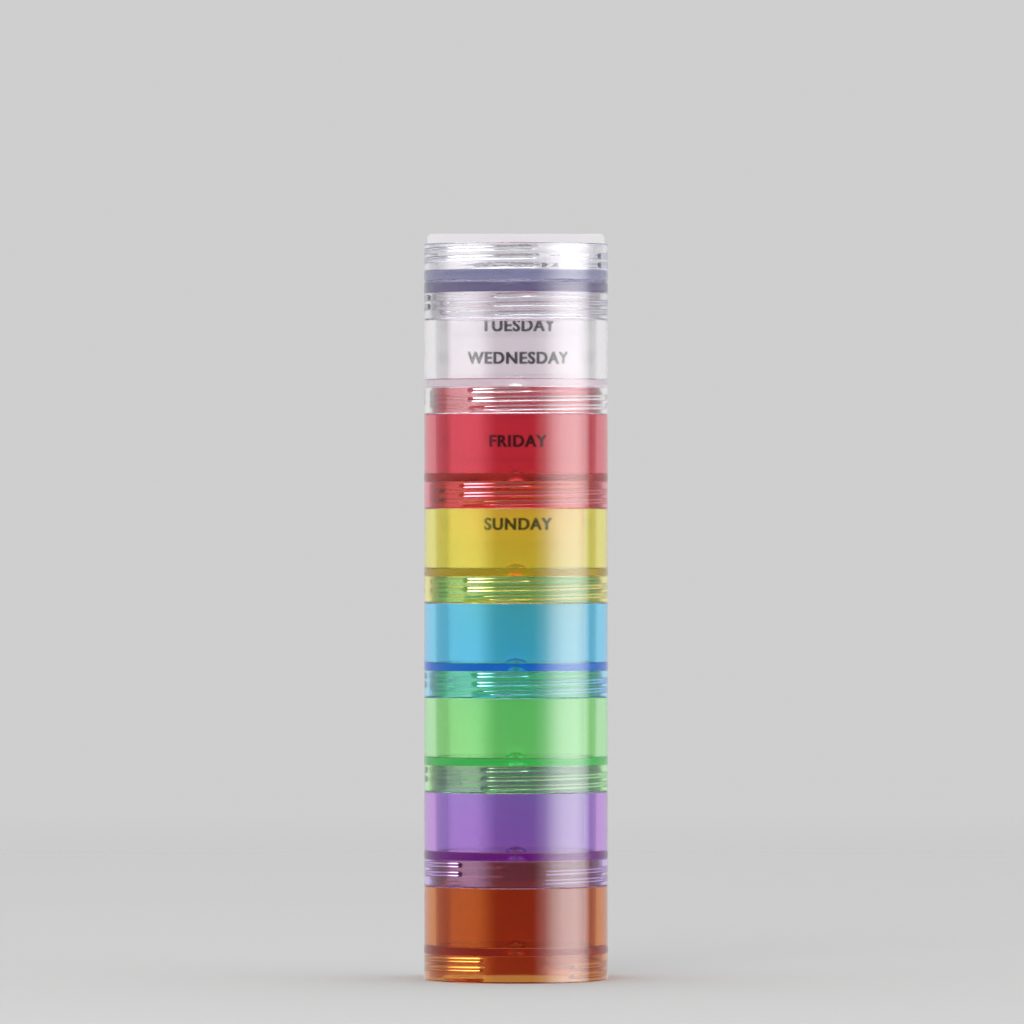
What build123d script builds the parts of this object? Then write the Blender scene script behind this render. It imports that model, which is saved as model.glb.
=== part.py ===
"""Weekly pill organizer: seven round cups that screw into one tower, a lid, a spare lid stored
upside down on top of it, and a loose sheet of seven day labels that stands behind the tower.

Millimetres, +Z up. The tower's axis is Z and its lowest rim stands on Z = 0. The front is -Y.
"""

import os
from math import radians, tan

from build123d import *

# Driving sizes of the round pieces
outer_diameter = 38.1
cup_height = 19.5  # from a cup's lower rim to its shoulder
skirt_depth = 5.7
skirt_wall = 1.05
thread_gap = 0.55  # radial room between a neck and the skirt round it, which holds the threads
neck_wall = 0.7
neck_headroom = 0.3  # between a neck's lip and the floor of the cup above
floor_thickness = 1.4
cavity_draft = 0.5  # degrees
lid_plate = 2.2

# Eased edges, none over a third of its wall
rim_edge = 0.25
lip_edge = 0.2
lead_in_edge = 0.35
plate_edge = 0.4
floor_corner = 0.9

# The injection gate: a low dome in the middle of each floor, with a dimple and the gate's nub
# under it, and a dimple in each plate
gate_dome_radius = 2.45
gate_dome_height = 0.9
gate_dimple_radius = 1.2
gate_wall = 1.6  # what the dimple leaves of the floor and the dome
gate_nub_radius = 0.5
gate_nub_height = 0.5
plate_dimple_radius = 1.3
plate_dimple_depth = 0.4

# The label sheet and its labels
sheet_width = 37.0
sheet_height = 155.0
sheet_thickness = 0.2
sheet_corner = 1.0
sheet_gap = 0.3  # between the labels and the back of the tower
top_margin = 8.5  # from the sheet's top edge to the middle of the first label
side_margin = 1.5
label_pitch = 8.68
label_space = 1.08
label_thickness = 0.1
label_corner = 0.8

# Names, from the bottom of the tower up, and in the order of the week
cup_colours = ["orange", "purple", "green", "blue", "yellow", "red", "clear"]
days = ["monday", "tuesday", "wednesday", "thursday", "friday", "saturday", "sunday"]

# Sizes that follow
outer_radius = outer_diameter / 2
socket_radius = outer_radius - skirt_wall
neck_radius = socket_radius - thread_gap
mouth_radius = neck_radius - neck_wall
neck_top = cup_height + skirt_depth - neck_headroom
floor_top = skirt_depth + floor_thickness
cavity_foot_radius = mouth_radius - (neck_top - floor_top) * tan(radians(cavity_draft))
gate_dome_top = floor_top + gate_dome_height
gate_dimple_top = gate_dome_top - gate_wall
lid_height = skirt_depth + lid_plate
plate_dimple_floor = lid_height - plate_dimple_depth
lid_foot = len(cup_colours) * cup_height
spare_lid_rim = lid_foot + 2 * lid_height
label_back = outer_radius + sheet_gap + label_thickness
label_width = sheet_width - 2 * side_margin
label_height = label_pitch - label_space

rim_bevel = min(rim_edge, skirt_wall / 3)
lip_bevel = min(lip_edge, neck_wall / 3)
lead_in = min(lead_in_edge, skirt_wall / 3)
plate_bevel = min(plate_edge, lid_plate / 3)

same_place = 0.001


def corners(section, *points):
    """The corners of a half section at these points, each a radius and a height above the rim."""
    return [
        corner
        for corner in section.vertices()
        if any(abs(corner.X - r) + abs(corner.Y - z) < same_place for r, z in points)
    ]


def make_cup(name, rim_height):
    """A cup with its rim at this height: a socket below, a floor, a drafted cavity and a neck."""
    upright = Plane(origin=(0, 0, rim_height), x_dir=(1, 0, 0), z_dir=(0, -1, 0))
    with BuildPart() as cup:
        with BuildSketch(upright) as section:
            with BuildLine():
                wall = Polyline(
                    (gate_dimple_radius, skirt_depth),
                    (socket_radius, skirt_depth),
                    (socket_radius, 0),
                    (outer_radius, 0),
                    (outer_radius, cup_height),
                    (neck_radius, cup_height),
                    (neck_radius, neck_top),
                    (mouth_radius, neck_top),
                    (cavity_foot_radius, floor_top),
                    (gate_dome_radius, floor_top),
                )
                dimple = TangentArc((0, gate_dimple_top), wall @ 0, tangent=(1, 0))
                dome = TangentArc((0, gate_dome_top), wall @ 1, tangent=(1, 0))
                Line(dimple @ 0, dome @ 0)
            make_face()
            chamfer(corners(section, (outer_radius, 0), (outer_radius, cup_height)), rim_bevel)
            chamfer(corners(section, (neck_radius, neck_top), (mouth_radius, neck_top)), lip_bevel)
            fillet(corners(section, (cavity_foot_radius, floor_top)), floor_corner)
            chamfer(corners(section, (socket_radius, 0)), lead_in)
        revolve(axis=Axis.Z)

        # The gate's nub, which ends inside the dimple
        with BuildSketch(Plane.XY.offset(rim_height + gate_dimple_top)):
            Circle(gate_nub_radius)
        extrude(amount=-gate_nub_height)

    cup.part.label = name
    export_step(cup.part, f"parts/{name}.step")


def make_lid(name, upright):
    """A lid from its half section: a flat plate over the same skirt as a cup's."""
    with BuildPart() as lid:
        with BuildSketch(upright) as section:
            with BuildLine():
                Polyline(
                    (0, skirt_depth),
                    (socket_radius, skirt_depth),
                    (socket_radius, 0),
                    (outer_radius, 0),
                    (outer_radius, lid_height),
                    (plate_dimple_radius, lid_height),
                    (plate_dimple_radius, plate_dimple_floor),
                    (0, plate_dimple_floor),
                    close=True,
                )
            make_face()
            chamfer(corners(section, (outer_radius, 0)), rim_bevel)
            chamfer(corners(section, (outer_radius, lid_height)), plate_bevel)
            chamfer(corners(section, (socket_radius, 0)), lead_in)
        revolve(axis=Axis.Z)

    lid.part.label = name
    export_step(lid.part, f"parts/{name}.step")


def make_sheet():
    """The backing sheet, on its lower edge, with its print side to the tower."""
    with BuildPart() as sheet:
        with BuildSketch(Plane.XZ.offset(-label_back)):
            with Locations((0, sheet_height / 2)):
                RectangleRounded(sheet_width, sheet_height, sheet_corner)
        extrude(amount=-sheet_thickness)

    sheet.part.label = "label_sheet"
    export_step(sheet.part, "parts/label_sheet.step")


def make_label(name, row):
    """One label on the front of the sheet, in this row from its top."""
    middle = sheet_height - top_margin - row * label_pitch
    with BuildPart() as label:
        with BuildSketch(Plane.XZ.offset(-label_back)):
            with Locations((0, middle)):
                RectangleRounded(label_width, label_height, label_corner)
        extrude(amount=label_thickness)

    label.part.label = name
    export_step(label.part, f"parts/{name}.step")


os.makedirs("parts", exist_ok=True)

for level, colour in enumerate(cup_colours):
    make_cup(f"{colour}_cup", level * cup_height)

# The spare lid's section is turned over, so that it lies plate to plate on the lid
make_lid("lid", Plane(origin=(0, 0, lid_foot), x_dir=(1, 0, 0), z_dir=(0, -1, 0)))
make_lid("spare_lid", Plane(origin=(0, 0, spare_lid_rim), x_dir=(1, 0, 0), z_dir=(0, 1, 0)))

make_sheet()
for row, day in enumerate(days):
    make_label(f"label_{day}", row)
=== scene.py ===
"""Weekly pill organizer: seven see-through cups screwed into one tower, a lid and a spare lid, and a
sheet of day labels behind them. Metres, +Z up, front towards -Y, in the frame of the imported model."""

from math import asin, atan2, cos, degrees, exp, hypot, log, pi, radians, sin, tan

import bmesh
import bpy
from mathutils import Matrix, Vector


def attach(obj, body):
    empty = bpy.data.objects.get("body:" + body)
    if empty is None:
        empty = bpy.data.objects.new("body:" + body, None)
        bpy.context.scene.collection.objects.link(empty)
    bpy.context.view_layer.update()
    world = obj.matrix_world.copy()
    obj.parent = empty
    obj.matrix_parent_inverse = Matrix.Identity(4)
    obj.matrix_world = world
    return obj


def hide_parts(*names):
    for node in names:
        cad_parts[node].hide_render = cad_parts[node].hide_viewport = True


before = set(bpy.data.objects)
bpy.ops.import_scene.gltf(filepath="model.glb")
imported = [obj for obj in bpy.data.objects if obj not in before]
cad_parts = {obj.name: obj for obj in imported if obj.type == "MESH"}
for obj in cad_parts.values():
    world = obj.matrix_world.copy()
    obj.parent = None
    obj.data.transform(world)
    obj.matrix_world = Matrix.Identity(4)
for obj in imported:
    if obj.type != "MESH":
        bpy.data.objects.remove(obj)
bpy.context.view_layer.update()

MM = 0.001

# Round pieces
OUTER_RADIUS = 19.05 * MM
SOCKET_RADIUS = 18.0 * MM
NECK_RADIUS = 17.45 * MM
MOUTH_RADIUS = 16.75 * MM
CUP_HEIGHT = 19.5 * MM
NECK_TOP = 24.9 * MM
SKIRT_DEPTH = 5.7 * MM
FLOOR_TOP = 7.1 * MM
CAVITY_DRAFT = radians(0.5)
LID_HEIGHT = 7.9 * MM
MATING_GAP = 0.03 * MM
SIDES = 256

# Eased edges: the size of each, and the number of its steps
RIM_ROUND = (0.15 * MM, 3)
LIP_ROUND = (0.2 * MM, 3)
LEAD_IN = (0.25 * MM, 1)
PLATE_ROUND = (0.4 * MM, 4)
FLOOR_ROUND = (0.25 * MM, 4)
SOCKET_ROUND = (0.2 * MM, 2)
SHARP_ANGLE = radians(40)

# The injection gate: a dome on each floor with a dimple and a nub under it, and a dimple in each plate. The
# pairs are a radius and a height
GATE_DOME = (2.45 * MM, 0.9 * MM)
GATE_DOME_TIP = GATE_DOME[0] / 20
GATE_DIMPLE = (1.2 * MM, 0.7 * MM)
GATE_RINGS = 7
GATE_NUB_RADIUS = 0.5 * MM
GATE_NUB_HEIGHT = 0.5 * MM
PLATE_DIMPLE = (1.3 * MM, 0.4 * MM)

# The thread: one start, right-handed, in two groups of ridges with smooth wall between them. The ridges run
# out towards the smooth wall and towards the lower and upper end of their part of the wall
THREAD_LEAD = 1.85 * MM
RIDGE_CREST_HALF = 0.1 * MM
RIDGE_FOOT_HALF = 0.62 * MM
NECK_RIDGE = 0.4 * MM
SOCKET_RIDGE = 0.4 * MM
THREAD_STEP = 0.08 * MM
SOCKET_THREAD = (0.6 * MM, 5.45 * MM)
NECK_THREAD = (CUP_HEIGHT + 0.3 * MM, CUP_HEIGHT + 5.1 * MM)
SOCKET_PHASE = 1.2 * MM
GROUPS = 2
END_FADE = 1.4 * MM
RUN_OUT = (0.3 * MM, 0.6 * MM)

# How near a point has to be, to count as on a level, on the axis, on an edge loop or in a threaded wall
ON_LEVEL = 1e-7
ON_AXIS = 1e-5
ON_EDGE = 0.02 * MM
ON_WALL = 0.05 * MM
ON_WALL_END = 0.01 * MM

# From the bottom up: the cup, and the middle and width of the smooth wall at the front, in degrees to the
# right of the middle, first in its socket and then on its neck
CUPS = {
    "orange_cup": ((8, 57), (18, 53)),
    "purple_cup": ((-10, 53), (-64, 50)),
    "green_cup": ((-50, 54), (-20, 50)),
    "blue_cup": ((-55, 50), (-75, 50)),
    "yellow_cup": ((-64, 54), (-30, 50)),
    "red_cup": ((-67, 54), (-50, 50)),
    "clear_cup": ((-60, 54), (-80, 50)),
}
LID_SOCKET_GAP = (-44, 54)
SPARE_LID_SOCKET_GAP = (-40, 50)

# What each plastic lets through, in red, green and blue: first through two walls, and then through the
# floor edge-on. The spare lid's values hold painted light as well
WALL_PAIR = 4.9 * MM
FLOOR_DEPTH = 38 * MM
LEAST_TAKEN = 0.001
PLASTICS = {
    "orange_cup": ((0.53, 0.07, 0.003), (0.43, 0.03, 0.003)),
    "purple_cup": ((0.46, 0.27, 0.84), (0.26, 0.008, 0.38)),
    "green_cup": ((0.36, 0.92, 0.28), (0.1, 0.76, 0.16)),
    "blue_cup": ((0.15, 0.7, 1.0), (0.002, 0.22, 1.0)),
    "yellow_cup": ((0.93, 0.84, 0.1), (0.6, 0.49, 0.01)),
    "red_cup": ((0.74, 0.05, 0.09), (0.56, 0.03, 0.02)),
    "clear_cup": ((0.98, 0.96, 0.98), (0.9, 0.85, 0.9)),
    "lid": ((0.82, 0.81, 0.87), (0.22, 0.2, 0.35)),
    # The lid's plastic, made clearer as painted light for the light from above on the spare lid's plate
    "spare_lid": ((0.85, 0.85, 0.9), (0.31, 0.32, 0.5)),
}
PLASTIC_IOR = 1.57

# How much of the lamp's and the soft light passes a face, and how much of its colour they take on
SHADOW_CLEARNESS = 0.98
SHADOW_TINT = 0.15

# The polish of the plastic, the haze that changes it a little, and the flow marks of its moulding
POLISH = 0.03
HAZE = 0.04
HAZE_SCALE = 180
HAZE_DETAIL = 4
FLOW_MARKS = 0.3
FLOW_SCALE = 70
FLOW_DETAIL = 1
FLOW_STRETCH = (1, 1, 0.35)
FLOW_DEPTH = 0.05 * MM

# The satin ring outside each floor and lid plate, by height above the rim of the cup or lid, and how matt
# it is. The two lids lie plate on plate, so theirs is one ring
CUP_RING = (5.75 * MM, 7.05 * MM)
LIDS_RING = (5.75 * MM, 10.05 * MM)
RING_RADIUS = 18.9 * MM
SATIN = 0.22

# The sheet's and labels' papers and the ink: their colours, and how strong their grain is
SHEET_PAPER = ((0.83, 0.81, 0.83), 0.2)
LABEL_PAPER = ((0.88, 0.85, 0.88), 0.1)
INK = ((0.03, 0.03, 0.035), 0.05)
PAPER_ROUGHNESS = 0.7
FIBRE_SCALE = 1500
FIBRE_DETAIL = 3
FIBRE_SHADE = 0.97
FIBRE_DEPTH = 0.02 * MM

# The day names on the labels, Monday at the top. Each is struck a few times, a step apart, which thickens
# its upright strokes
DAYS = ("monday", "tuesday", "wednesday", "thursday", "friday", "saturday", "sunday")
FIRST_LABEL = 146.5 * MM
LABEL_PITCH = 8.68 * MM
LABEL_FRONT = 19.35 * MM
TEXT_SIZE = 3.45 * MM
TEXT_WIDTH = 1.07
TEXT_BOLD = 0.07 * MM
TEXT_STRIKES = 3
TEXT_STRIKE_STEP = 0.1 * MM
TEXT_DEPTH = 0.02 * MM
TEXT_SPACING = 1.12
TEXT_CURVE_STEPS = 4
TEXT_SIDE = 0.55 * MM
TEXT_DROP = 0.35 * MM
EXTRA_DROP = {"monday": -1.5 * MM, "tuesday": 1.9 * MM}

# How far MONDAY's first letter reaches from the left end of the name, and how far it is moved outwards
LETTER_M = 3.85 * MM
LETTER_M_SHIFT = 0.2 * MM

# The background, and the floor that fades into it between two distances from the tower
BACKGROUND = 0.62
FLOOR_GREY = 0.5
FLOOR_ROUGHNESS = 0.9
FLOOR_SPECULAR = 0.2
FLOOR_RADIUS = 6.0
FLOOR_SIDES = 96
FLOOR_DROP = 0.02 * MM
FLOOR_FADE = (0.3, 1.1)

# How bright the studio's walls are, in degrees to the right of the front: as the tower's outer faces mirror
# them, as its inner faces do, and as they light the room
MIRRORED = (
    (-180, 0.62),
    (-165, 0.8),
    (-130, 0.8),
    (-112, 0.5),
    (-60, 0.2),
    (-34, 0.12),
    (22, 0.12),
    (36, 1.6),
    (48, 4.8),
    (61, 7.3),
    (80, 7.6),
    (97, 4.2),
    (107, 0.5),
    (130, 0.8),
    (165, 0.8),
    (180, 0.62),
)
INSIDE = (
    (-180, 0.62),
    (-165, 0.8),
    (-130, 0.8),
    (-112, 0.5),
    (-104, 0.6),
    (-95, 3.0),
    (-80, 4.4),
    (-64, 5.7),
    (-53, 5.7),
    (-40, 2.8),
    (-27, 0.25),
    (30, 0.25),
    (50, 0.5),
    (94, 0.5),
    (98, 0.4),
    (130, 0.8),
    (165, 0.8),
    (180, 0.62),
)
AROUND = (
    (-180, 0.62),
    (-165, 0.8),
    (-130, 0.8),
    (-112, 0.5),
    (-98, 0.6),
    (-85, 2.0),
    (-55, 2.0),
    (-34, 0.25),
    (25, 0.25),
    (60, 1.1),
    (94, 1.2),
    (98, 0.4),
    (130, 0.8),
    (165, 0.8),
    (180, 0.62),
)

# How bright the walls are when mirrored deeper inside the tower. They end between two heights of a direction
# on a unit sphere, and over them is the ceiling, as it lights the room and as it is mirrored
DEEP_INSIDE = 0.4
WALLS_END = (0.3, 0.65)
CEILING = 1.0
SKY = 3.0

# The lamp
SOFTBOX = 8.0
SOFTBOX_SIZE = 0.8
SOFTBOX_PLACE = (-0.45, -1.25, 0.75)
TOWER_MIDDLE = (0, 0, 0.08)

# The camera: level, in front of the tower
CAMERA_DISTANCE = 2.0
CAMERA_SIDE = -0.83 * MM
CAMERA_HEIGHT = 96.8 * MM
LENS = 339.5
SENSOR_WIDTH = 36
FARTHEST_SEEN = 50

# How often light may bounce. What the floors mirror inside themselves counts as glossy
BOUNCES = 32
GLOSSY_BOUNCES = 24
CLEAR_BOUNCES = 64


def start_cylinder(name, radius, bottom, top):
    """A closed cylinder round the Z axis, in edit mode with nothing selected."""
    bpy.ops.object.select_all(action="DESELECT")
    bpy.ops.mesh.primitive_cylinder_add(
        vertices=SIDES, radius=radius, depth=top - bottom, location=(0, 0, (top + bottom) / 2)
    )
    piece = bpy.context.object
    piece.name = name
    piece.data.name = name
    bpy.ops.object.transform_apply(location=True, rotation=True, scale=True)
    bpy.ops.object.mode_set(mode="EDIT")
    bpy.ops.mesh.select_all(action="DESELECT")
    return piece


def select_end(piece, height):
    """Selects the flat end face at this height."""
    bpy.ops.mesh.select_mode(type="FACE")
    bpy.ops.mesh.select_all(action="DESELECT")
    mesh = bmesh.from_edit_mesh(piece.data)
    for face in mesh.faces:
        level = all(abs(v.co.z - height) < ON_LEVEL for v in face.verts)
        if level and face.calc_center_median().xy.length < ON_AXIS:
            face.select = True
    bmesh.update_edit_mesh(piece.data)


def narrow(width):
    """Insets the selected end face."""
    bpy.ops.mesh.inset(thickness=width, use_even_offset=True)


def raise_by(height, steps=1):
    """Extrudes the selected end face up, or down where height is below 0."""
    for _ in range(steps):
        bpy.ops.mesh.extrude_region_move(TRANSFORM_OT_translate={"value": (0, 0, height / steps)})


def taper(factor):
    """Scales the selected end face about the axis."""
    bpy.ops.transform.resize(value=(factor, factor, 1))


def raise_cap(cap, inner_radius):
    """Extrudes the selected end face up in rings, into a cap of a sphere that ends at this radius."""
    radius, height = cap
    sphere = (radius**2 + height**2) / (2 * height)
    first = asin(radius / sphere)
    last = asin(inner_radius / sphere)
    for ring in range(1, GATE_RINGS + 1):
        before = first + (last - first) * (ring - 1) / GATE_RINGS
        here = first + (last - first) * ring / GATE_RINGS
        raise_by(sphere * (cos(here) - cos(before)))
        taper(sin(here) / sin(before))


def raise_thread(foot, thread, head):
    """Extrudes the selected end face past a thread: plain, then in fine rings, then plain again."""
    low, high = thread
    raise_by(low - foot)
    raise_by(high - low, round(abs(high - low) / THREAD_STEP))
    raise_by(head - high)


def ease_edges(piece, easing, *places):
    """Eases the edge loops at these places, each a radius and a height."""
    size, steps = easing
    bpy.ops.mesh.select_mode(type="EDGE")
    bpy.ops.mesh.select_all(action="DESELECT")
    mesh = bmesh.from_edit_mesh(piece.data)
    for edge in mesh.edges:
        if any(
            all(abs(v.co.xy.length - radius) + abs(v.co.z - height) < ON_EDGE for v in edge.verts)
            for radius, height in places
        ):
            edge.select = True
    bmesh.update_edit_mesh(piece.data)
    bpy.ops.mesh.bevel(offset=size, segments=steps, affect="EDGES")


def leave_edit_mode():
    """Turns all faces outwards and goes back to object mode."""
    bpy.ops.mesh.select_all(action="SELECT")
    bpy.ops.mesh.normals_make_consistent(inside=False)
    bpy.ops.object.mode_set(mode="OBJECT")


def shade_smooth(piece):
    """Shades the piece smooth but for its sharp edges, and keeps its tall walls optically straight."""
    bpy.ops.object.select_all(action="DESELECT")
    bpy.context.view_layer.objects.active = piece
    piece.select_set(True)
    bpy.ops.object.shade_smooth_by_angle(angle=SHARP_ANGLE)
    weighted = piece.modifiers.new("even shading", "WEIGHTED_NORMAL")
    weighted.mode = "FACE_AREA"
    weighted.keep_sharp = True
    bpy.ops.object.modifier_apply(modifier=weighted.name)


def make_cup_blank():
    """A cup without its thread ridges, with its lower rim at height 0."""
    cup = start_cylinder("cup_blank", OUTER_RADIUS, MATING_GAP, CUP_HEIGHT)
    cavity_depth = NECK_TOP - FLOOR_TOP
    cavity_foot = MOUTH_RADIUS - cavity_depth * tan(CAVITY_DRAFT)

    select_end(cup, CUP_HEIGHT)
    narrow(OUTER_RADIUS - NECK_RADIUS)
    raise_thread(CUP_HEIGHT, NECK_THREAD, NECK_TOP)
    narrow(NECK_RADIUS - MOUTH_RADIUS)
    raise_by(-cavity_depth)
    taper(cavity_foot / MOUTH_RADIUS)
    narrow(cavity_foot - GATE_DOME[0])
    raise_cap(GATE_DOME, GATE_DOME_TIP)

    select_end(cup, MATING_GAP)
    narrow(OUTER_RADIUS - SOCKET_RADIUS)
    raise_thread(MATING_GAP, SOCKET_THREAD, SKIRT_DEPTH)
    narrow(SOCKET_RADIUS - GATE_DIMPLE[0])
    raise_cap(GATE_DIMPLE, GATE_NUB_RADIUS)
    raise_by(-GATE_NUB_HEIGHT)

    ease_edges(cup, RIM_ROUND, (OUTER_RADIUS, MATING_GAP), (OUTER_RADIUS, CUP_HEIGHT))
    ease_edges(cup, LIP_ROUND, (NECK_RADIUS, NECK_TOP), (MOUTH_RADIUS, NECK_TOP))
    ease_edges(cup, LEAD_IN, (SOCKET_RADIUS, MATING_GAP))
    ease_edges(cup, SOCKET_ROUND, (SOCKET_RADIUS, SKIRT_DEPTH))
    ease_edges(cup, FLOOR_ROUND, (cavity_foot, FLOOR_TOP))
    leave_edit_mode()
    return cup


def make_lid_blank():
    """A lid without its thread ridges, with its rim at height 0."""
    lid = start_cylinder("lid_blank", OUTER_RADIUS, MATING_GAP, LID_HEIGHT - MATING_GAP)

    select_end(lid, LID_HEIGHT - MATING_GAP)
    narrow(OUTER_RADIUS - PLATE_DIMPLE[0])
    raise_by(-PLATE_DIMPLE[1])

    select_end(lid, MATING_GAP)
    narrow(OUTER_RADIUS - SOCKET_RADIUS)
    raise_thread(MATING_GAP, SOCKET_THREAD, SKIRT_DEPTH)

    ease_edges(lid, RIM_ROUND, (OUTER_RADIUS, MATING_GAP))
    ease_edges(lid, PLATE_ROUND, (OUTER_RADIUS, LID_HEIGHT - MATING_GAP))
    ease_edges(lid, LEAD_IN, (SOCKET_RADIUS, MATING_GAP))
    ease_edges(lid, SOCKET_ROUND, (SOCKET_RADIUS, SKIRT_DEPTH))
    leave_edit_mode()
    return lid


def smooth_step(t):
    """From 0 to 1, with level ends."""
    t = min(max(t, 0), 1)
    return t * t * (3 - 2 * t)


def ridge_height(angle, height, phase, gap, thread):
    """How far the thread stands out here, from 0 to 1. The angle is in degrees to the right of the front."""
    gap_middle, gap_width = gap
    period = 360 / GROUPS
    from_gap = abs((angle - gap_middle + period / 2) % period - period / 2)
    past_gap = radians(from_gap - gap_width / 2) * NECK_RADIUS
    low, high = thread
    along = (height - phase - THREAD_LEAD * angle / 360 + THREAD_LEAD / 2) % THREAD_LEAD - THREAD_LEAD / 2
    centre = height - along
    room = min(centre - low, high - centre)
    run_out = smooth_step((room - RUN_OUT[0]) / (RUN_OUT[1] - RUN_OUT[0]))
    end = smooth_step(past_gap / END_FADE)
    across = (RIDGE_FOOT_HALF - abs(along)) / (RIDGE_FOOT_HALF - RIDGE_CREST_HALF)
    return run_out * end * smooth_step(across)


def cut_thread(piece, radius, height, phase, gap, thread):
    """Moves the fine rings of a wall in or out, so that its thread ridges stand on it."""
    low, high = thread
    for vertex in piece.data.vertices:
        x, y, z = vertex.co
        here = hypot(x, y)
        if abs(here - radius) < ON_WALL and low - ON_WALL_END < z < high + ON_WALL_END:
            angle = degrees(atan2(x, -y))
            factor = 1 + height * ridge_height(angle, z, phase, gap, thread) / here
            vertex.co = (x * factor, y * factor, z)


def copy_of(blank, name):
    """A copy of a blank with its own mesh, under the name of the piece it becomes."""
    piece = blank.copy()
    piece.data = blank.data.copy()
    piece.name = name
    piece.data.name = name
    bpy.context.scene.collection.objects.link(piece)
    return piece


def stand_for(piece, node):
    """The piece rides on the node's body and takes its place."""
    shade_smooth(piece)
    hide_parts(node)
    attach(piece, node)


def turn_first_letter(words):
    """Turns a name's first letter upside down, and moves it a little outwards."""
    left = min(vertex.co.x for vertex in words.data.vertices)
    letter = [vertex for vertex in words.data.vertices if vertex.co.x < left + LETTER_M]
    across, up = zip(*[vertex.co.xy for vertex in letter])
    for vertex in letter:
        vertex.co.x = min(across) + max(across) - vertex.co.x - LETTER_M_SHIFT
        vertex.co.y = min(up) + max(up) - vertex.co.y


def make_day_name(day, row):
    """The name of a day, as thin letters on the front of its label."""
    bpy.ops.object.select_all(action="DESELECT")
    bpy.ops.object.text_add()
    words = bpy.context.object
    words.name = f"{day}_name"
    # The typeface's own M fills in at this weight, so a W is turned upside down for it
    words.data.body = day.upper().replace("M", "W")
    words.data.size = TEXT_SIZE
    words.data.offset = TEXT_BOLD
    words.data.extrude = TEXT_DEPTH
    words.data.space_character = TEXT_SPACING
    words.data.resolution_u = TEXT_CURVE_STEPS
    words.data.align_x = "CENTER"
    words.data.align_y = "CENTER"
    bpy.ops.object.convert(target="MESH")
    words = bpy.context.object
    if day.startswith("m"):
        turn_first_letter(words)
    bold = words.modifiers.new("bold", "ARRAY")
    bold.use_relative_offset = False
    bold.use_constant_offset = True
    bold.constant_offset_displace = (TEXT_STRIKE_STEP, 0, 0)
    bold.count = TEXT_STRIKES
    bpy.ops.object.modifier_apply(modifier=bold.name)
    words.data.transform(Matrix.Scale(TEXT_WIDTH, 4, (1, 0, 0)))

    across, up = zip(*[vertex.co.xy for vertex in words.data.vertices])
    middle = ((min(across) + max(across)) / 2, (min(up) + max(up)) / 2)
    height = FIRST_LABEL - row * LABEL_PITCH - TEXT_DROP - EXTRA_DROP.get(day, 0)
    upright = Matrix.Rotation(pi / 2, 4, "X")
    place = Matrix.Translation((TEXT_SIDE - middle[0], LABEL_FRONT, height - middle[1]))
    words.data.transform(place @ upright)
    return words


def maths(tree, operation, *values):
    """The output of a Math node on these values, each a number or another node's output."""
    node = tree.nodes.new("ShaderNodeMath")
    node.operation = operation
    for socket, value in zip(node.inputs, values):
        if isinstance(value, bpy.types.NodeSocket):
            tree.links.new(value, socket)
        else:
            socket.default_value = value
    return node.outputs[0]


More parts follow.
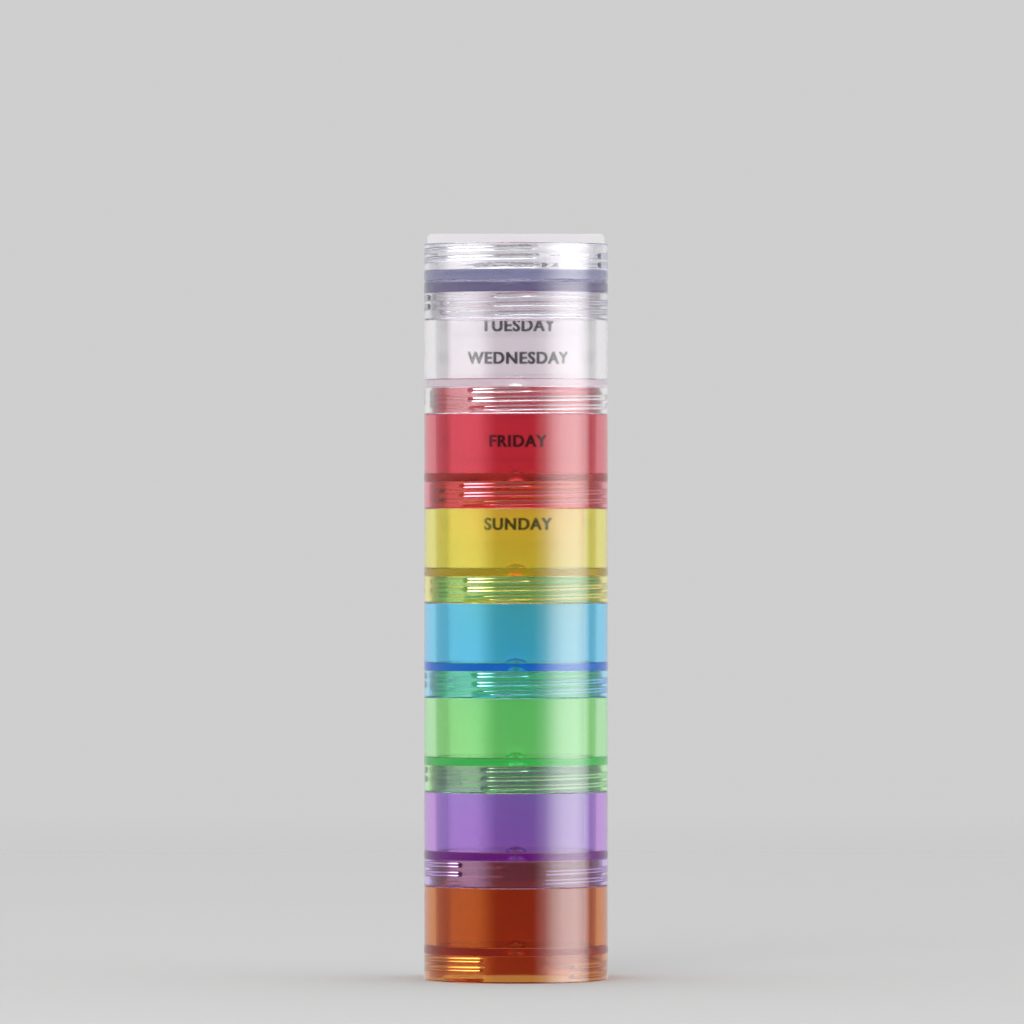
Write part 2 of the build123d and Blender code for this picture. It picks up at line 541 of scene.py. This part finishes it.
def make_finish_group():
    """The finish of moulded plastic: polish with a little haze, a satin ring, and flow marks."""
    group = bpy.data.node_groups.new("moulded finish", "ShaderNodeTree")
    values = {
        "Polish": POLISH,
        "Haze": HAZE,
        "Flow marks": FLOW_MARKS,
        "Ring foot": 0,
        "Ring head": 0,
        "Satin": SATIN,
    }
    for name, value in values.items():
        socket = group.interface.new_socket(name, in_out="INPUT", socket_type="NodeSocketFloat")
        socket.default_value = value
    group.interface.new_socket("Roughness", in_out="OUTPUT", socket_type="NodeSocketFloat")
    group.interface.new_socket("Normal", in_out="OUTPUT", socket_type="NodeSocketVector")
    nodes, links = group.nodes, group.links
    inputs = nodes.new("NodeGroupInput")
    outputs = nodes.new("NodeGroupOutput")
    place = nodes.new("ShaderNodeTexCoord")

    haze = nodes.new("ShaderNodeTexNoise")
    haze.inputs["Scale"].default_value = HAZE_SCALE
    haze.inputs["Detail"].default_value = HAZE_DETAIL
    links.new(place.outputs["Object"], haze.inputs["Vector"])
    polish = maths(
        group, "MULTIPLY_ADD", haze.outputs["Fac"], inputs.outputs["Haze"], inputs.outputs["Polish"]
    )

    axes = nodes.new("ShaderNodeSeparateXYZ")
    links.new(place.outputs["Object"], axes.inputs[0])
    height = maths(group, "FLOORED_MODULO", axes.outputs["Z"], CUP_HEIGHT)
    above_foot = maths(group, "GREATER_THAN", height, inputs.outputs["Ring foot"])
    below_head = maths(group, "LESS_THAN", height, inputs.outputs["Ring head"])
    from_axis = nodes.new("ShaderNodeVectorMath")
    from_axis.operation = "LENGTH"
    level = nodes.new("ShaderNodeCombineXYZ")
    links.new(axes.outputs["X"], level.inputs["X"])
    links.new(axes.outputs["Y"], level.inputs["Y"])
    links.new(level.outputs[0], from_axis.inputs[0])
    outside = maths(group, "GREATER_THAN", from_axis.outputs["Value"], RING_RADIUS)
    in_ring = maths(group, "MULTIPLY", maths(group, "MULTIPLY", above_foot, below_head), outside)
    satin = maths(group, "MULTIPLY", in_ring, inputs.outputs["Satin"])
    links.new(maths(group, "MAXIMUM", polish, satin), outputs.inputs["Roughness"])

    stretch = nodes.new("ShaderNodeMapping")
    stretch.inputs["Scale"].default_value = FLOW_STRETCH
    links.new(place.outputs["Object"], stretch.inputs["Vector"])
    flow = nodes.new("ShaderNodeTexNoise")
    flow.inputs["Scale"].default_value = FLOW_SCALE
    flow.inputs["Detail"].default_value = FLOW_DETAIL
    links.new(stretch.outputs["Vector"], flow.inputs["Vector"])
    bump = nodes.new("ShaderNodeBump")
    bump.inputs["Distance"].default_value = FLOW_DEPTH
    links.new(inputs.outputs["Flow marks"], bump.inputs["Strength"])
    links.new(flow.outputs["Fac"], bump.inputs["Height"])
    links.new(bump.outputs["Normal"], outputs.inputs["Normal"])
    return group


def share_out(walls, floor):
    """The share of one colour that a wall's two faces let through, and how much its dye takes in a metre."""
    depth = FLOOR_DEPTH / WALL_PAIR
    film = min(exp((depth * log(walls) - log(floor)) / (2 * depth - 1)), 1)
    taken = max(2 * log(film) - log(walls), LEAST_TAKEN) / WALL_PAIR
    return film, taken


def make_plastic(name, through, finish, ring):
    """Clear plastic that tints what is seen through it, and lets lamps reach what is behind it."""
    material = bpy.data.materials.new(name)
    material.use_nodes = True
    nodes, links = material.node_tree.nodes, material.node_tree.links
    shader = nodes["Principled BSDF"]
    output = nodes["Material Output"]
    walls, floor = through
    film, taken = zip(*[share_out(wall, deep) for wall, deep in zip(walls, floor)])
    shader.inputs["Base Color"].default_value = (*film, 1)
    shader.inputs["Transmission Weight"].default_value = 1
    shader.inputs["IOR"].default_value = PLASTIC_IOR

    surface = nodes.new("ShaderNodeGroup")
    surface.node_tree = finish
    surface.inputs["Ring foot"].default_value = ring[0]
    surface.inputs["Ring head"].default_value = ring[1]
    links.new(surface.outputs["Roughness"], shader.inputs["Roughness"])
    links.new(surface.outputs["Normal"], shader.inputs["Normal"])

    path = nodes.new("ShaderNodeLightPath")
    lighting = maths(
        material.node_tree, "MAXIMUM", path.outputs["Is Shadow Ray"], path.outputs["Is Diffuse Ray"]
    )
    clear = nodes.new("ShaderNodeBsdfTransparent")
    clear.inputs["Color"].default_value = (*[SHADOW_CLEARNESS * value**SHADOW_TINT for value in film], 1)
    mix = nodes.new("ShaderNodeMixShader")
    links.new(lighting, mix.inputs[0])
    links.new(shader.outputs[0], mix.inputs[1])
    links.new(clear.outputs[0], mix.inputs[2])
    links.new(mix.outputs[0], output.inputs["Surface"])

    # The weakest colour sets how dense the dye is, and the others are let through beside it
    dye = nodes.new("ShaderNodeVolumeAbsorption")
    dye.inputs["Density"].default_value = max(taken)
    dye.inputs["Color"].default_value = (*[1 - value / max(taken) for value in taken], 1)
    links.new(dye.outputs[0], output.inputs["Volume"])
    return material


def make_paper(name, colour, grain):
    """Smooth paper with a faint fibre grain."""
    material = bpy.data.materials.new(name)
    material.use_nodes = True
    nodes, links = material.node_tree.nodes, material.node_tree.links
    shader = nodes["Principled BSDF"]
    shader.inputs["Roughness"].default_value = PAPER_ROUGHNESS
    place = nodes.new("ShaderNodeTexCoord")
    fibres = nodes.new("ShaderNodeTexNoise")
    fibres.inputs["Scale"].default_value = FIBRE_SCALE
    fibres.inputs["Detail"].default_value = FIBRE_DETAIL
    links.new(place.outputs["Object"], fibres.inputs["Vector"])
    tint = nodes.new("ShaderNodeMix")
    tint.data_type = "RGBA"
    tint.inputs["A"].default_value = (*[value * FIBRE_SHADE for value in colour], 1)
    tint.inputs["B"].default_value = (*colour, 1)
    links.new(fibres.outputs["Fac"], tint.inputs["Factor"])
    links.new(tint.outputs["Result"], shader.inputs["Base Color"])
    bump = nodes.new("ShaderNodeBump")
    bump.inputs["Strength"].default_value = grain
    bump.inputs["Distance"].default_value = FIBRE_DEPTH
    links.new(fibres.outputs["Fac"], bump.inputs["Height"])
    links.new(bump.outputs["Normal"], shader.inputs["Normal"])
    return material


def make_floor_material():
    """Matt and pale round the tower, and fading into the background."""
    material = bpy.data.materials.new("pale floor")
    material.use_nodes = True
    nodes, links = material.node_tree.nodes, material.node_tree.links
    shader = nodes["Principled BSDF"]
    shader.inputs["Base Color"].default_value = (FLOOR_GREY, FLOOR_GREY, FLOOR_GREY, 1)
    shader.inputs["Roughness"].default_value = FLOOR_ROUGHNESS
    shader.inputs["Specular IOR Level"].default_value = FLOOR_SPECULAR
    place = nodes.new("ShaderNodeTexCoord")
    distance = nodes.new("ShaderNodeVectorMath")
    distance.operation = "LENGTH"
    links.new(place.outputs["Object"], distance.inputs[0])
    fade = nodes.new("ShaderNodeMapRange")
    fade.interpolation_type = "SMOOTHSTEP"
    fade.inputs["From Min"].default_value = FLOOR_FADE[0]
    fade.inputs["From Max"].default_value = FLOOR_FADE[1]
    links.new(distance.outputs["Value"], fade.inputs["Value"])
    clear = nodes.new("ShaderNodeBsdfTransparent")
    mix = nodes.new("ShaderNodeMixShader")
    links.new(fade.outputs["Result"], mix.inputs[0])
    links.new(shader.outputs[0], mix.inputs[1])
    links.new(clear.outputs[0], mix.inputs[2])
    links.new(mix.outputs[0], nodes["Material Output"].inputs["Surface"])
    return material


def make_walls(world, azimuth, lights):
    """How bright the studio's walls are all round, from a list of directions in degrees and lights."""
    ramp = world.nodes.new("ShaderNodeValToRGB")
    world.links.new(maths(world, "MULTIPLY_ADD", azimuth, 1 / (2 * pi), 0.5), ramp.inputs[0])
    stops = ramp.color_ramp.elements
    while len(stops) < len(lights):
        stops.new(0.5)
    for stop, (angle, light) in zip(stops, lights):
        stop.position = angle / 360 + 0.5
        stop.color = (light, light, light, 1)
    return ramp.outputs["Color"]


def steepness(world, height):
    """From 0 where a direction is nearly level to 1 where it is steep, by its height on a unit sphere."""
    steep = world.nodes.new("ShaderNodeMapRange")
    steep.interpolation_type = "SMOOTHSTEP"
    steep.inputs["From Min"].default_value = WALLS_END[0]
    steep.inputs["From Max"].default_value = WALLS_END[1]
    world.links.new(height, steep.inputs["Value"])
    return steep.outputs["Result"]


def blend_colours(world, factor, first, second):
    """From the first colour to the second, each a grey or another node's output."""
    mix = world.nodes.new("ShaderNodeMix")
    mix.data_type = "RGBA"
    world.links.new(factor, mix.inputs["Factor"])
    for socket, colour in ((mix.inputs["A"], first), (mix.inputs["B"], second)):
        if isinstance(colour, bpy.types.NodeSocket):
            world.links.new(colour, socket)
        else:
            socket.default_value = (colour, colour, colour, 1)
    return mix.outputs["Result"]


def make_studio():
    """Plain and pale to the camera and straight through the plastic, and a lit room in all else."""
    studio = bpy.data.worlds.new("studio")
    studio.use_nodes = True
    world = studio.node_tree

    place = world.nodes.new("ShaderNodeTexCoord")
    axes = world.nodes.new("ShaderNodeSeparateXYZ")
    world.links.new(place.outputs["Generated"], axes.inputs[0])
    backwards = maths(world, "MULTIPLY", axes.outputs["Y"], -1)
    azimuth = maths(world, "ARCTAN2", axes.outputs["X"], backwards)
    above = steepness(world, axes.outputs["Z"])
    below = steepness(world, maths(world, "MULTIPLY", axes.outputs["Z"], -1))

    # How often light was mirrored, how many faces it went through, and how often matt surfaces scattered it.
    # These are whole numbers, so they are compared with halves
    path = world.nodes.new("ShaderNodeLightPath")
    faces = path.outputs["Transmission Depth"]
    reflected = maths(world, "GREATER_THAN", path.outputs["Glossy Depth"], 0.5)
    straight = maths(world, "SUBTRACT", 1, reflected)
    through = maths(world, "MULTIPLY", path.outputs["Is Transmission Ray"], straight)
    sharp = maths(world, "LESS_THAN", path.outputs["Diffuse Depth"], 0.5)
    reflected = maths(world, "MULTIPLY", reflected, sharp)

    # With no face passed, an outer face mirrors the walls. With up to two, the front wall's inner face does
    outside = make_walls(world, azimuth, MIRRORED)
    inside = make_walls(world, azimuth, INSIDE)
    deeper = blend_colours(world, maths(world, "LESS_THAN", faces, 2.5), DEEP_INSIDE, inside)
    mirrored = blend_colours(world, maths(world, "LESS_THAN", faces, 0.5), deeper, outside)
    mirrored = blend_colours(world, above, mirrored, SKY)
    mirrored = blend_colours(world, below, mirrored, BACKGROUND)
    lit = blend_colours(world, above, make_walls(world, azimuth, AROUND), CEILING)
    room = blend_colours(world, reflected, lit, mirrored)
    behind = blend_colours(world, above, BACKGROUND, CEILING)
    beyond = blend_colours(world, through, room, behind)
    seen = blend_colours(world, path.outputs["Is Camera Ray"], beyond, BACKGROUND)
    world.links.new(seen, world.nodes["Background"].inputs["Color"])
    return studio


finish = make_finish_group()
plastics = {}
for name, through in PLASTICS.items():
    ring = LIDS_RING if name.endswith("lid") else CUP_RING
    plastics[name] = make_plastic(f"{name} plastic", through, finish, ring)

cup_blank = make_cup_blank()
lid_blank = make_lid_blank()
for level, (name, (socket_gap, neck_gap)) in enumerate(CUPS.items()):
    cup = copy_of(cup_blank, f"{name}_moulding")
    cut_thread(cup, SOCKET_RADIUS, -SOCKET_RIDGE, SOCKET_PHASE, socket_gap, SOCKET_THREAD)
    neck_phase = CUP_HEIGHT + SOCKET_PHASE + THREAD_LEAD / 2
    cut_thread(cup, NECK_RADIUS, NECK_RIDGE, neck_phase, neck_gap, NECK_THREAD)
    cup.data.transform(Matrix.Translation((0, 0, level * CUP_HEIGHT)))
    cup.data.materials.append(plastics[name])
    stand_for(cup, name)

lid = copy_of(lid_blank, "lid_moulding")
cut_thread(lid, SOCKET_RADIUS, -SOCKET_RIDGE, SOCKET_PHASE, LID_SOCKET_GAP, SOCKET_THREAD)
lid.data.transform(Matrix.Translation((0, 0, len(CUPS) * CUP_HEIGHT)))
lid.data.materials.append(plastics["lid"])
stand_for(lid, "lid")

spare_lid = copy_of(lid_blank, "spare_lid_moulding")
cut_thread(spare_lid, SOCKET_RADIUS, -SOCKET_RIDGE, SOCKET_PHASE, SPARE_LID_SOCKET_GAP, SOCKET_THREAD)
turned_over = Matrix.Rotation(pi, 4, "Y")
spare_rim = len(CUPS) * CUP_HEIGHT + 2 * LID_HEIGHT
spare_lid.data.transform(Matrix.Translation((0, 0, spare_rim)) @ turned_over)
# The spare lid's plastic is the lid's, made clearer as painted light from above
spare_lid.data.materials.append(plastics["spare_lid"])
stand_for(spare_lid, "spare_lid")

for blank in (cup_blank, lid_blank):
    bpy.data.objects.remove(blank)

sheet_paper = make_paper("label sheet paper", *SHEET_PAPER)
label_paper = make_paper("label paper", *LABEL_PAPER)
for name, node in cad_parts.items():
    if name.startswith("label_"):
        node.data.materials.clear()
        node.data.materials.append(sheet_paper if name == "label_sheet" else label_paper)

ink = make_paper("printing ink", *INK)
for row, day in enumerate(DAYS):
    words = make_day_name(day, row)
    words.data.materials.append(ink)
    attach(words, "label_sheet")

# The plastic neither mirrors the floor nor shows it, because it would hide the studio from the lowest cups
bpy.ops.object.select_all(action="DESELECT")
bpy.ops.mesh.primitive_circle_add(
    vertices=FLOOR_SIDES, radius=FLOOR_RADIUS, fill_type="NGON", location=(0, 0, -FLOOR_DROP)
)
floor = bpy.context.object
floor.name = "floor"
floor.visible_glossy = False
floor.visible_transmission = False
floor.data.materials.append(make_floor_material())

bpy.context.scene.world = make_studio()

lamp_data = bpy.data.lights.new("softbox", "AREA")
lamp_data.shape = "SQUARE"
lamp_data.size = SOFTBOX_SIZE
lamp_data.energy = SOFTBOX
lamp = bpy.data.objects.new("softbox", lamp_data)
bpy.context.scene.collection.objects.link(lamp)
lamp.location = SOFTBOX_PLACE
lamp.rotation_euler = (Vector(TOWER_MIDDLE) - Vector(SOFTBOX_PLACE)).to_track_quat("-Z", "Y").to_euler()
lamp.visible_camera = False
lamp.visible_transmission = False

camera_data = bpy.data.cameras.new("camera")
camera_data.lens = LENS
camera_data.sensor_width = SENSOR_WIDTH
camera_data.clip_end = FARTHEST_SEEN
camera = bpy.data.objects.new("camera", camera_data)
bpy.context.scene.collection.objects.link(camera)
camera.location = (CAMERA_SIDE, -CAMERA_DISTANCE, CAMERA_HEIGHT)
camera.rotation_euler = (pi / 2, 0, 0)

scene = bpy.context.scene
scene.camera = camera
scene.view_settings.view_transform = "Standard"
scene.cycles.max_bounces = BOUNCES
scene.cycles.transmission_bounces = BOUNCES
scene.cycles.transparent_max_bounces = CLEAR_BOUNCES
scene.cycles.glossy_bounces = GLOSSY_BOUNCES
